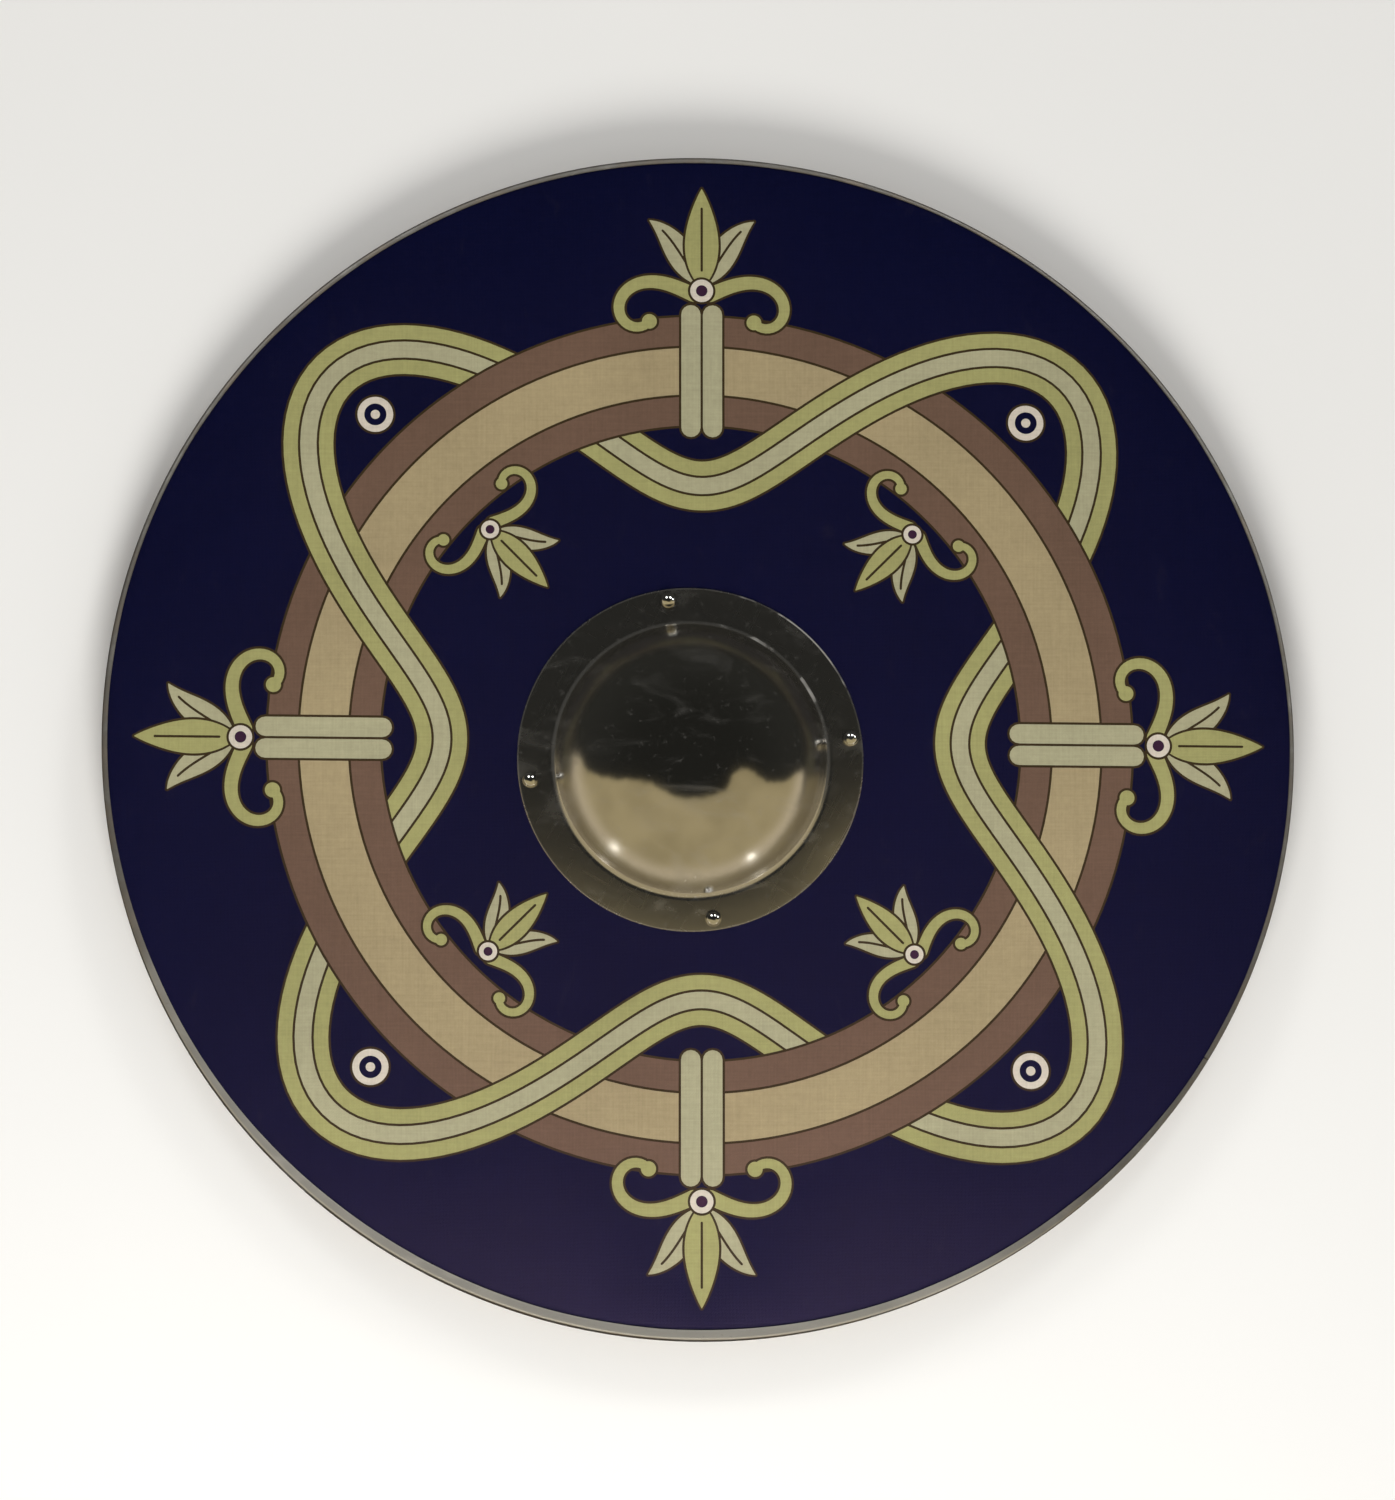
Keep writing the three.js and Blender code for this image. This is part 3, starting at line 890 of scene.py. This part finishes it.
def front_lip_width(angle):
    """The strip is bent by hand, so the lip narrows and widens round the edge."""
    count = len(FRONT_LIP_WIDTHS)
    place = (angle % math.tau) / math.tau * count
    share = (1 - math.cos(math.pi * (place % 1))) / 2
    start = FRONT_LIP_WIDTHS[int(place) % count]
    end = FRONT_LIP_WIDTHS[(int(place) + 1) % count]
    flutter = LIP_FLUTTER * noise.noise(Vector((math.cos(angle), math.sin(angle), 0)) * 9)
    return start + (end - start) * share + flutter


def make_rim():
    """A channel spun round the board from one side of its seam to the other."""
    inner = RIM_RADIUS - STEEL_OF_RIM
    inner_low, inner_high = RIM_BACK + STEEL_OF_RIM, RIM_FRONT - STEEL_OF_RIM
    centre = inner - RIM_BEND
    lip_blank = RIM_RADIUS - RIM_LIP_BLANK
    outer_bend = RIM_BEND + STEEL_OF_RIM
    profile = [(RIM_RADIUS - RIM_BACK_LIP, RIM_BACK)]
    profile += arc((centre, inner_low + RIM_BEND), outer_bend, -90, 0, 6)
    profile += arc((centre, inner_high - RIM_BEND), outer_bend, 0, 90, 6)
    profile += arc((lip_blank + LIP_EDGE_ROUND, RIM_FRONT - LIP_EDGE_ROUND), LIP_EDGE_ROUND, 90, 180, 5)
    profile += [(lip_blank, inner_high)]
    profile += arc((centre, inner_high - RIM_BEND), RIM_BEND, 90, 0, 4)
    profile += arc((centre, inner_low + RIM_BEND), RIM_BEND, 0, -90, 4)
    profile += [(RIM_RADIUS - RIM_BACK_LIP, inner_low)]
    gap = RIM_SEAM_WIDTH / RIM_RADIUS
    bm = bmesh.new()
    spin_profile(bm, profile, (0, 0, 0), 360, True, RIM_SEAM_ANGLE + gap / 2, math.tau - gap)
    bmesh.ops.holes_fill(bm, edges=[edge for edge in bm.edges if edge.is_boundary], sides=0)
    for vert in bm.verts:
        if vert.co.z > inner_high - 0.1 * MM and vert.co.xy.length < centre - 0.2 * MM:
            angle = math.atan2(vert.co.y, vert.co.x)
            from_edge = vert.co.xy.length - lip_blank
            vert.co.xy = vert.co.xy.normalized() * (RIM_RADIUS - front_lip_width(angle) + from_edge)
    bmesh.ops.recalc_face_normals(bm, faces=bm.faces)
    return finish_piece(bm, "steel_rim", "rim", [rim_steel], 40)


# The boss

def make_boss():
    """A hollow dome cut from a ball, with a rounded foot and a flange that thins toward its edge."""
    height = BOSS_TOP - BOSS_BACK - INSET
    rise = height - STEEL_OF_BOSS
    ball = (BOSS_FOOT_RADIUS ** 2 + rise ** 2) / (2 * rise)
    ball_centre = height - ball
    fillet_height = STEEL_OF_BOSS + BOSS_FOOT_FILLET
    fillet_reach = math.sqrt((ball + BOSS_FOOT_FILLET) ** 2 - (fillet_height - ball_centre) ** 2)
    foot_tilt = math.degrees(math.atan2(fillet_reach, fillet_height - ball_centre))
    flange_end = FLANGE_RADIUS - FLANGE_FRONT_BEVEL
    flange = []
    for i in range(13):
        share = i / 12
        distance = flange_end + (fillet_reach - flange_end) * share
        flange.append((distance, STEEL_OF_BOSS - FLANGE_ROLL * (1 - share)))
    edge = [(FLANGE_RADIUS, FLANGE_BACK_BEVEL), (FLANGE_RADIUS, flange[0][1] - FLANGE_FRONT_BEVEL)]
    foot = arc((fillet_reach, fillet_height), BOSS_FOOT_FILLET, 270, 270 - foot_tilt, 12)
    dome = arc((0, ball_centre), ball, 90 - foot_tilt, 90, 48)[1:]
    dome[-1] = (0.0, height)
    outside = foot + dome
    inside = moved_in(outside, STEEL_OF_BOSS)
    inside[-1] = (0.0, height - STEEL_OF_BOSS)
    inside = [(FLANGE_RADIUS - FLANGE_BACK_BEVEL, 0.0)] + inside
    profile = inside[::-1] + edge + flange[:-1] + outside
    profile = [(distance, BOSS_BACK + lift) for distance, lift in profile]
    bm = bmesh.new()
    spin_profile(bm, profile, BOSS_CENTRE, 240)
    finish_piece(bm, "polished_boss", "boss", [boss_steel], 40)


# The rivets and the roves

def cap_profile(radius, height, rise, steps):
    """A low dome from its edge to the axis."""
    ball = (radius ** 2 + rise ** 2) / (2 * rise)
    start = math.degrees(math.acos(radius / ball))
    points = arc((0, height + rise - ball), ball, start, 90, steps)
    points[-1] = (0.0, height + rise)
    return points


def make_rivet(side):
    """A domed head on the flange, a shank, and a hammered tail on the rove."""
    node = f"rivet_{side}"
    seat = BOSS_BACK + STEEL_OF_BOSS - RIVET_BEDDING
    tail_top = level(f"rove_{side}", 0) - RIVET_BEDDING
    tail_side_low = tail_top - RIVET_TAIL_SIDE
    tail_low = level(node, 0) + INSET
    rise = level(node, 1) - INSET - seat
    tail = [(distance, tail_side_low - (lift - tail_top))
            for distance, lift in cap_profile(RIVET_TAIL_RADIUS, tail_top, tail_side_low - tail_low, 5)]
    profile = tail[::-1] + [(RIVET_TAIL_RADIUS, tail_top), (RIVET_SHANK_RADIUS, tail_top)]
    profile += [(RIVET_SHANK_RADIUS, seat), (RIVET_HEAD_RADIUS - RIVET_HEAD_BEVEL, seat)]
    profile += cap_profile(RIVET_HEAD_RADIUS, seat + RIVET_HEAD_SIDE, rise - RIVET_HEAD_SIDE, 12)
    bm = bmesh.new()
    spin_profile(bm, profile, RIVET_SPOTS[side], 36)
    for vert in bm.verts:
        if vert.co.z > seat or vert.co.z < tail_top - 0.1 * MM:
            dents = noise.noise_vector(vert.co / MM * 0.35)
            vert.co += HAMMERED_BY * dents * Vector((1, 1, 0.4))
    return finish_piece(bm, f"domed_rivet_{side}", node, [rivet_steel], 50)


def make_rove(side):
    """A round washer under the rivet's tail."""
    node = f"rove_{side}"
    low, high = level(node, 0), level(node, 1)
    soft = ROVE_EDGE_ROUND
    profile = [(RIVET_HOLE_RADIUS, low)]
    profile += arc((ROVE_RADIUS - soft, low + soft), soft, -90, 0, 3)
    profile += arc((ROVE_RADIUS - soft, high - soft), soft, 0, 90, 3)
    profile += [(RIVET_HOLE_RADIUS, high)]
    bm = bmesh.new()
    spin_profile(bm, profile, RIVET_SPOTS[side], 32, True)
    finish_piece(bm, f"steel_rove_{side}", node, [rove_steel], 40)


# The grip

def grip_outline():
    """The grip seen from below, from the middle of its lower side anticlockwise."""
    half_length = (RIVET_SPOTS["right"] - BOSS_CENTRE).length + GRIP_END_MARGIN
    half_end, half_waist = GRIP_END_WIDTH / 2, GRIP_WAIST_WIDTH / 2
    flare_middle, flare_half = HAND_HOLE_RADIUS, HAND_HOLE_RADIUS / 5
    quarter = []
    for i in range(9):
        share = i / 8
        smooth = share * share * (3 - 2 * share)
        along = flare_middle + flare_half * (2 * share - 1)
        quarter.append((along, -half_waist - (half_end - half_waist) * smooth))
    corner = (half_length - GRIP_CORNER, GRIP_CORNER - half_end)
    quarter += arc(corner, GRIP_CORNER, -90, 0, 8)
    right = quarter + [(x, -y) for x, y in quarter[::-1]]
    return right + [(-x, -y) for x, y in right]


def cutter(name, centre, radius, low, high):
    """A round bar that a hole is cut with."""
    bm = bmesh.new()
    bmesh.ops.create_cone(
        bm, cap_ends=True, segments=32, radius1=radius, radius2=radius, depth=high - low,
        matrix=Matrix.Translation(Vector((centre.x, centre.y, (low + high) / 2))),
    )
    return new_object(name, new_mesh(name, bm))


def cut_holes(piece, cutters):
    """Cuts each bar out of a piece and keeps the result as the piece's own mesh."""
    for bar in cutters:
        modifier = piece.modifiers.new("hole", "BOOLEAN")
        modifier.operation = "DIFFERENCE"
        modifier.solver = "EXACT"
        modifier.object = bar
    bpy.context.view_layer.update()
    cut = bpy.data.meshes.new_from_object(piece.evaluated_get(bpy.context.evaluated_depsgraph_get()))
    piece.modifiers.clear()
    piece.data = cut
    for bar in cutters:
        bpy.data.objects.remove(bar)


def make_grip():
    """A rounded wooden bar with a recess for a rove in each end of its underside."""
    bm = bmesh.new()
    turn = Matrix.Translation(BOSS_CENTRE) @ Matrix.Rotation(GRIP_ANGLE, 4, "Z")
    verts = [bm.verts.new(turn @ Vector((x, y, 0))) for x, y in grip_outline()]
    face = bm.faces.new(verts)
    made = bmesh.ops.extrude_face_region(bm, geom=[face], use_keep_orig=True)["geom"]
    raised = [item for item in made if isinstance(item, bmesh.types.BMVert)]
    bmesh.ops.translate(bm, vec=(0, 0, GRIP_TOP), verts=raised)
    bmesh.ops.recalc_face_normals(bm, faces=bm.faces)
    long_edges = [edge for edge in bm.edges if abs(edge.verts[0].co.z - edge.verts[1].co.z) < 1e-6]
    bmesh.ops.bevel(
        bm, geom=long_edges, offset=GRIP_EDGE_ROUND, offset_type="OFFSET", affect="EDGES",
        segments=6, profile=0.5, material=-1,
    )
    piece = finish_piece(bm, "wooden_grip", "grip", [grip_wood], 35)
    past = 5 * MM
    bars = []
    for side in ("left", "right"):
        spot = RIVET_SPOTS[side]
        bars.append(cutter(f"recess_{side}", spot, ROVE_RECESS_RADIUS, -past, ROVE_RECESS_DEPTH))
        bars.append(cutter(f"hole_{side}", spot, RIVET_HOLE_RADIUS, -past, GRIP_TOP + past))
    cut_holes(piece, bars)


board = make_board()
rim = make_rim()
make_boss()
make_grip()
rivets = [make_rivet(side) for side in SIDES]
for side in SIDES:
    make_rove(side)


# The floor, the light and the camera

VIEW_TILT = math.radians(9.05)
VIEW_SIDE = math.radians(244.2)
VIEW_DIRECTION = Vector((*turned(VIEW_SIDE, math.sin(VIEW_TILT)), math.cos(VIEW_TILT)))
VIEW_RIGHT = Vector((0, 1, 0)).cross(VIEW_DIRECTION).normalized()
VIEW_UP = VIEW_DIRECTION.cross(VIEW_RIGHT)
VIEW_AIM = (-2.5 * MM, -5.1 * MM)
CAMERA_DISTANCE = 3.6
PICTURE_HEIGHT = 1500
SCALE_PX_PER_M = 1708.2
SENSOR_HEIGHT = 36
# The edge between the dark room and the lit floor, as (side, height) pairs in the polished dome
HORIZON = (
    (-1.00, 0.14), (-0.66, 0.10), (-0.60, 0.00), (-0.21, -0.075), (0.03, -0.165),
    (0.24, -0.115), (0.34, 0.01), (0.56, -0.07), (0.72, 0.00), (1.00, 0.07),
)
# Direction and height in degrees, width and power of the lamps that only the rim and the rivets mirror
GLINTS = ((20, 22, 0.5, 2.6), (57, 42, 0.6, 5), (122, 42, 0.6, 5))
FLOOR_LAMP_SIDES = (228, 307)
LAMP_DISTANCE = 1.5


def make_floor():
    """A pale floor. In polished steel its colour is painted light: painted shade near the shield and beyond
    it, and a warm painted pool of light in front.
    """
    bm = bmesh.new()
    bmesh.ops.create_grid(bm, x_segments=8, y_segments=8, size=6.0)
    mesh = new_mesh("studio_floor", bm)
    material, tree, shader = new_material("pale floor")
    place = place_of(tree)
    grey = clouds(tree, place, 0.004, 3.0, 0.5)
    tone = blend_colours(tree, grey, (0.88, 0.88, 0.87, 1), (0.91, 0.91, 0.90, 1))
    x, y, beyond = from_axis(tree, place)
    side = times_plus(tree, calc(tree, "MAXIMUM", x, 0.0), 0.3, y)
    # Painted light for mirrors only: a warm lit patch in front of the shield, painted shade elsewhere
    lit = times(tree, ramp(tree, side, -50, 20, 1.0, 0.0), ramp(tree, beyond, 420, 560))
    mirrored = blend_colours(tree, lit, (0.030, 0.030, 0.027, 1), (0.66, 0.57, 0.41, 1))
    paths = tree.nodes.new("ShaderNodeLightPath").outputs
    tone = blend_colours(tree, paths["Is Glossy Ray"], tone, mirrored)
    feed(tree, shader, Base_Color=tone, Roughness=0.7)
    mesh.materials.append(material)
    new_object("studio_floor", mesh)


def soft_lamp(name, place, aim, size, power, colour=(1, 1, 1), only=(), mirrored=True, matt=True):
    """A round lamp. It lights only some pieces if asked, and may be left out of mirrors or matt light."""
    lamp = bpy.data.lights.new(name, "AREA")
    lamp.shape = "DISK"
    lamp.size = size
    lamp.energy = power
    lamp.color = colour
    holder = new_object(name, lamp)
    holder.location = place
    holder.rotation_euler = (Vector(aim) - Vector(place)).to_track_quat("-Z", "Y").to_euler()
    holder.visible_glossy = mirrored
    holder.visible_diffuse = matt
    if only:
        group = bpy.data.collections.new(f"lit by {name}")
        for piece in only:
            group.objects.link(piece)
        holder.light_linking.receiver_collection = group


def far_place(azimuth, elevation, distance):
    """A place round the boss, by its direction in degrees."""
    level_reach = distance * math.cos(math.radians(elevation))
    spot = turned(math.radians(azimuth), level_reach)
    return BOSS_CENTRE + Vector((spot.x, spot.y, BOARD_FRONT + distance * math.sin(math.radians(elevation))))


def horizon_line(tree, across):
    """The edge between the dark room and the lit floor, as the dome shows it from left to right."""
    node = tree.nodes.new("ShaderNodeFloatCurve")
    wire(tree, times_plus(tree, across, 0.5, 0.5), node.inputs["Value"])
    curve = node.mapping.curves[0]
    ends = HORIZON[0], HORIZON[-1]
    for point, (side, height) in zip((curve.points[0], curve.points[-1]), ends):
        point.location = (side / 2 + 0.5, height + 0.5)
    for side, height in HORIZON[1:-1]:
        curve.points.new(side / 2 + 0.5, height + 0.5)
    node.mapping.update()
    return minus(tree, node.outputs["Value"], 0.5)


def make_room():
    """Soft light all round. Polished steel mirrors a dark room above a lit, warm floor."""
    world = bpy.data.worlds.new("soft room")
    bpy.context.scene.world = world
    world.use_nodes = True
    tree = world.node_tree
    background = tree.nodes["Background"]
    direction = tree.nodes.new("ShaderNodeTexCoord").outputs["Generated"]
    _, _, z = split(tree, direction)
    between = vector_calc(tree, "NORMALIZE", vector_calc(tree, "ADD", direction, tuple(VIEW_DIRECTION)))
    across = vector_calc(tree, "DOT_PRODUCT", between, tuple(VIEW_RIGHT))
    upward = vector_calc(tree, "DOT_PRODUCT", between, tuple(VIEW_UP))
    waver = minus(tree, clouds(tree, between, 22.0, 3.0, 0.6), 0.5)
    above = minus(tree, upward, horizon_line(tree, across))
    lit = ramp(tree, times_plus(tree, waver, 0.06, above), -0.016, 0.012, 1.0, 0.0)
    patches = ramp(tree, clouds(tree, direction, 2.2, 3.0, 0.5), 0.30, 0.70)
    wall = blend_colours(tree, patches, (0.37, 0.305, 0.168, 1), (0.47, 0.39, 0.22, 1))
    wall = blend_colours(tree, ramp(tree, z, 0.22, -0.02), wall, (0.70, 0.60, 0.43, 1))
    dark = blend_colours(tree, ramp(tree, z, 0.9, 0.1), (0.0150, 0.0150, 0.0130, 1), (0.026, 0.026, 0.023, 1))
    mirrored = blend_colours(tree, lit, dark, wall)
    paths = tree.nodes.new("ShaderNodeLightPath").outputs
    soft = blend_colours(tree, paths["Is Glossy Ray"], (0.42, 0.41, 0.40, 1), mirrored)
    seen = blend_colours(tree, paths["Is Camera Ray"], soft, (0.92, 0.92, 0.91, 1))
    feed(tree, background, Color=seen, Strength=1.0)


def make_camera():
    """Looks down on the lying shield from its lower left, nearly square on."""
    camera = bpy.data.cameras.new("camera")
    holder = new_object("camera", camera)
    target = Vector((*VIEW_AIM, BOARD_FRONT))
    holder.location = target + VIEW_DIRECTION * CAMERA_DISTANCE
    holder.rotation_euler = Matrix((VIEW_RIGHT, VIEW_UP, VIEW_DIRECTION)).transposed().to_euler()
    camera.sensor_fit = "VERTICAL"
    camera.sensor_height = SENSOR_HEIGHT
    camera.lens = SENSOR_HEIGHT * CAMERA_DISTANCE / (PICTURE_HEIGHT / SCALE_PX_PER_M)
    camera.clip_end = 50
    bpy.context.scene.camera = holder


make_floor()
make_room()
soft_lamp("key lamp", (-0.15, -1.5, 1.4), (0, -0.1, 0), 1.0, 30, (1.0, 0.98, 0.94), mirrored=False)
for side in (-1, 1):
    soft_lamp("fill lamp", (side * 0.93, 1.5, 1.6), (0, 0, 0), 0.6, 6.4, (1.0, 1.0, 0.98), mirrored=False)
soft_lamp("sheen lamp", (0.1, -1.2, 0.9), (0, -0.2, 0), 1.0, 76, (1.0, 0.68, 0.84), (board,), matt=False)
for azimuth in FLOOR_LAMP_SIDES:
    place = far_place(azimuth, 3, LAMP_DISTANCE)
    soft_lamp("floor lamp", place, far_place(0, 90, 0.03), 0.12, 0.13, (1.0, 0.97, 0.90))
for azimuth, elevation, size, power in GLINTS:
    place = far_place(azimuth, elevation, LAMP_DISTANCE)
    soft_lamp("glint lamp", place, BOSS_CENTRE, size, power, only=(rim, *rivets), matt=False)
make_camera()
bpy.context.scene.view_settings.view_transform = "Standard"
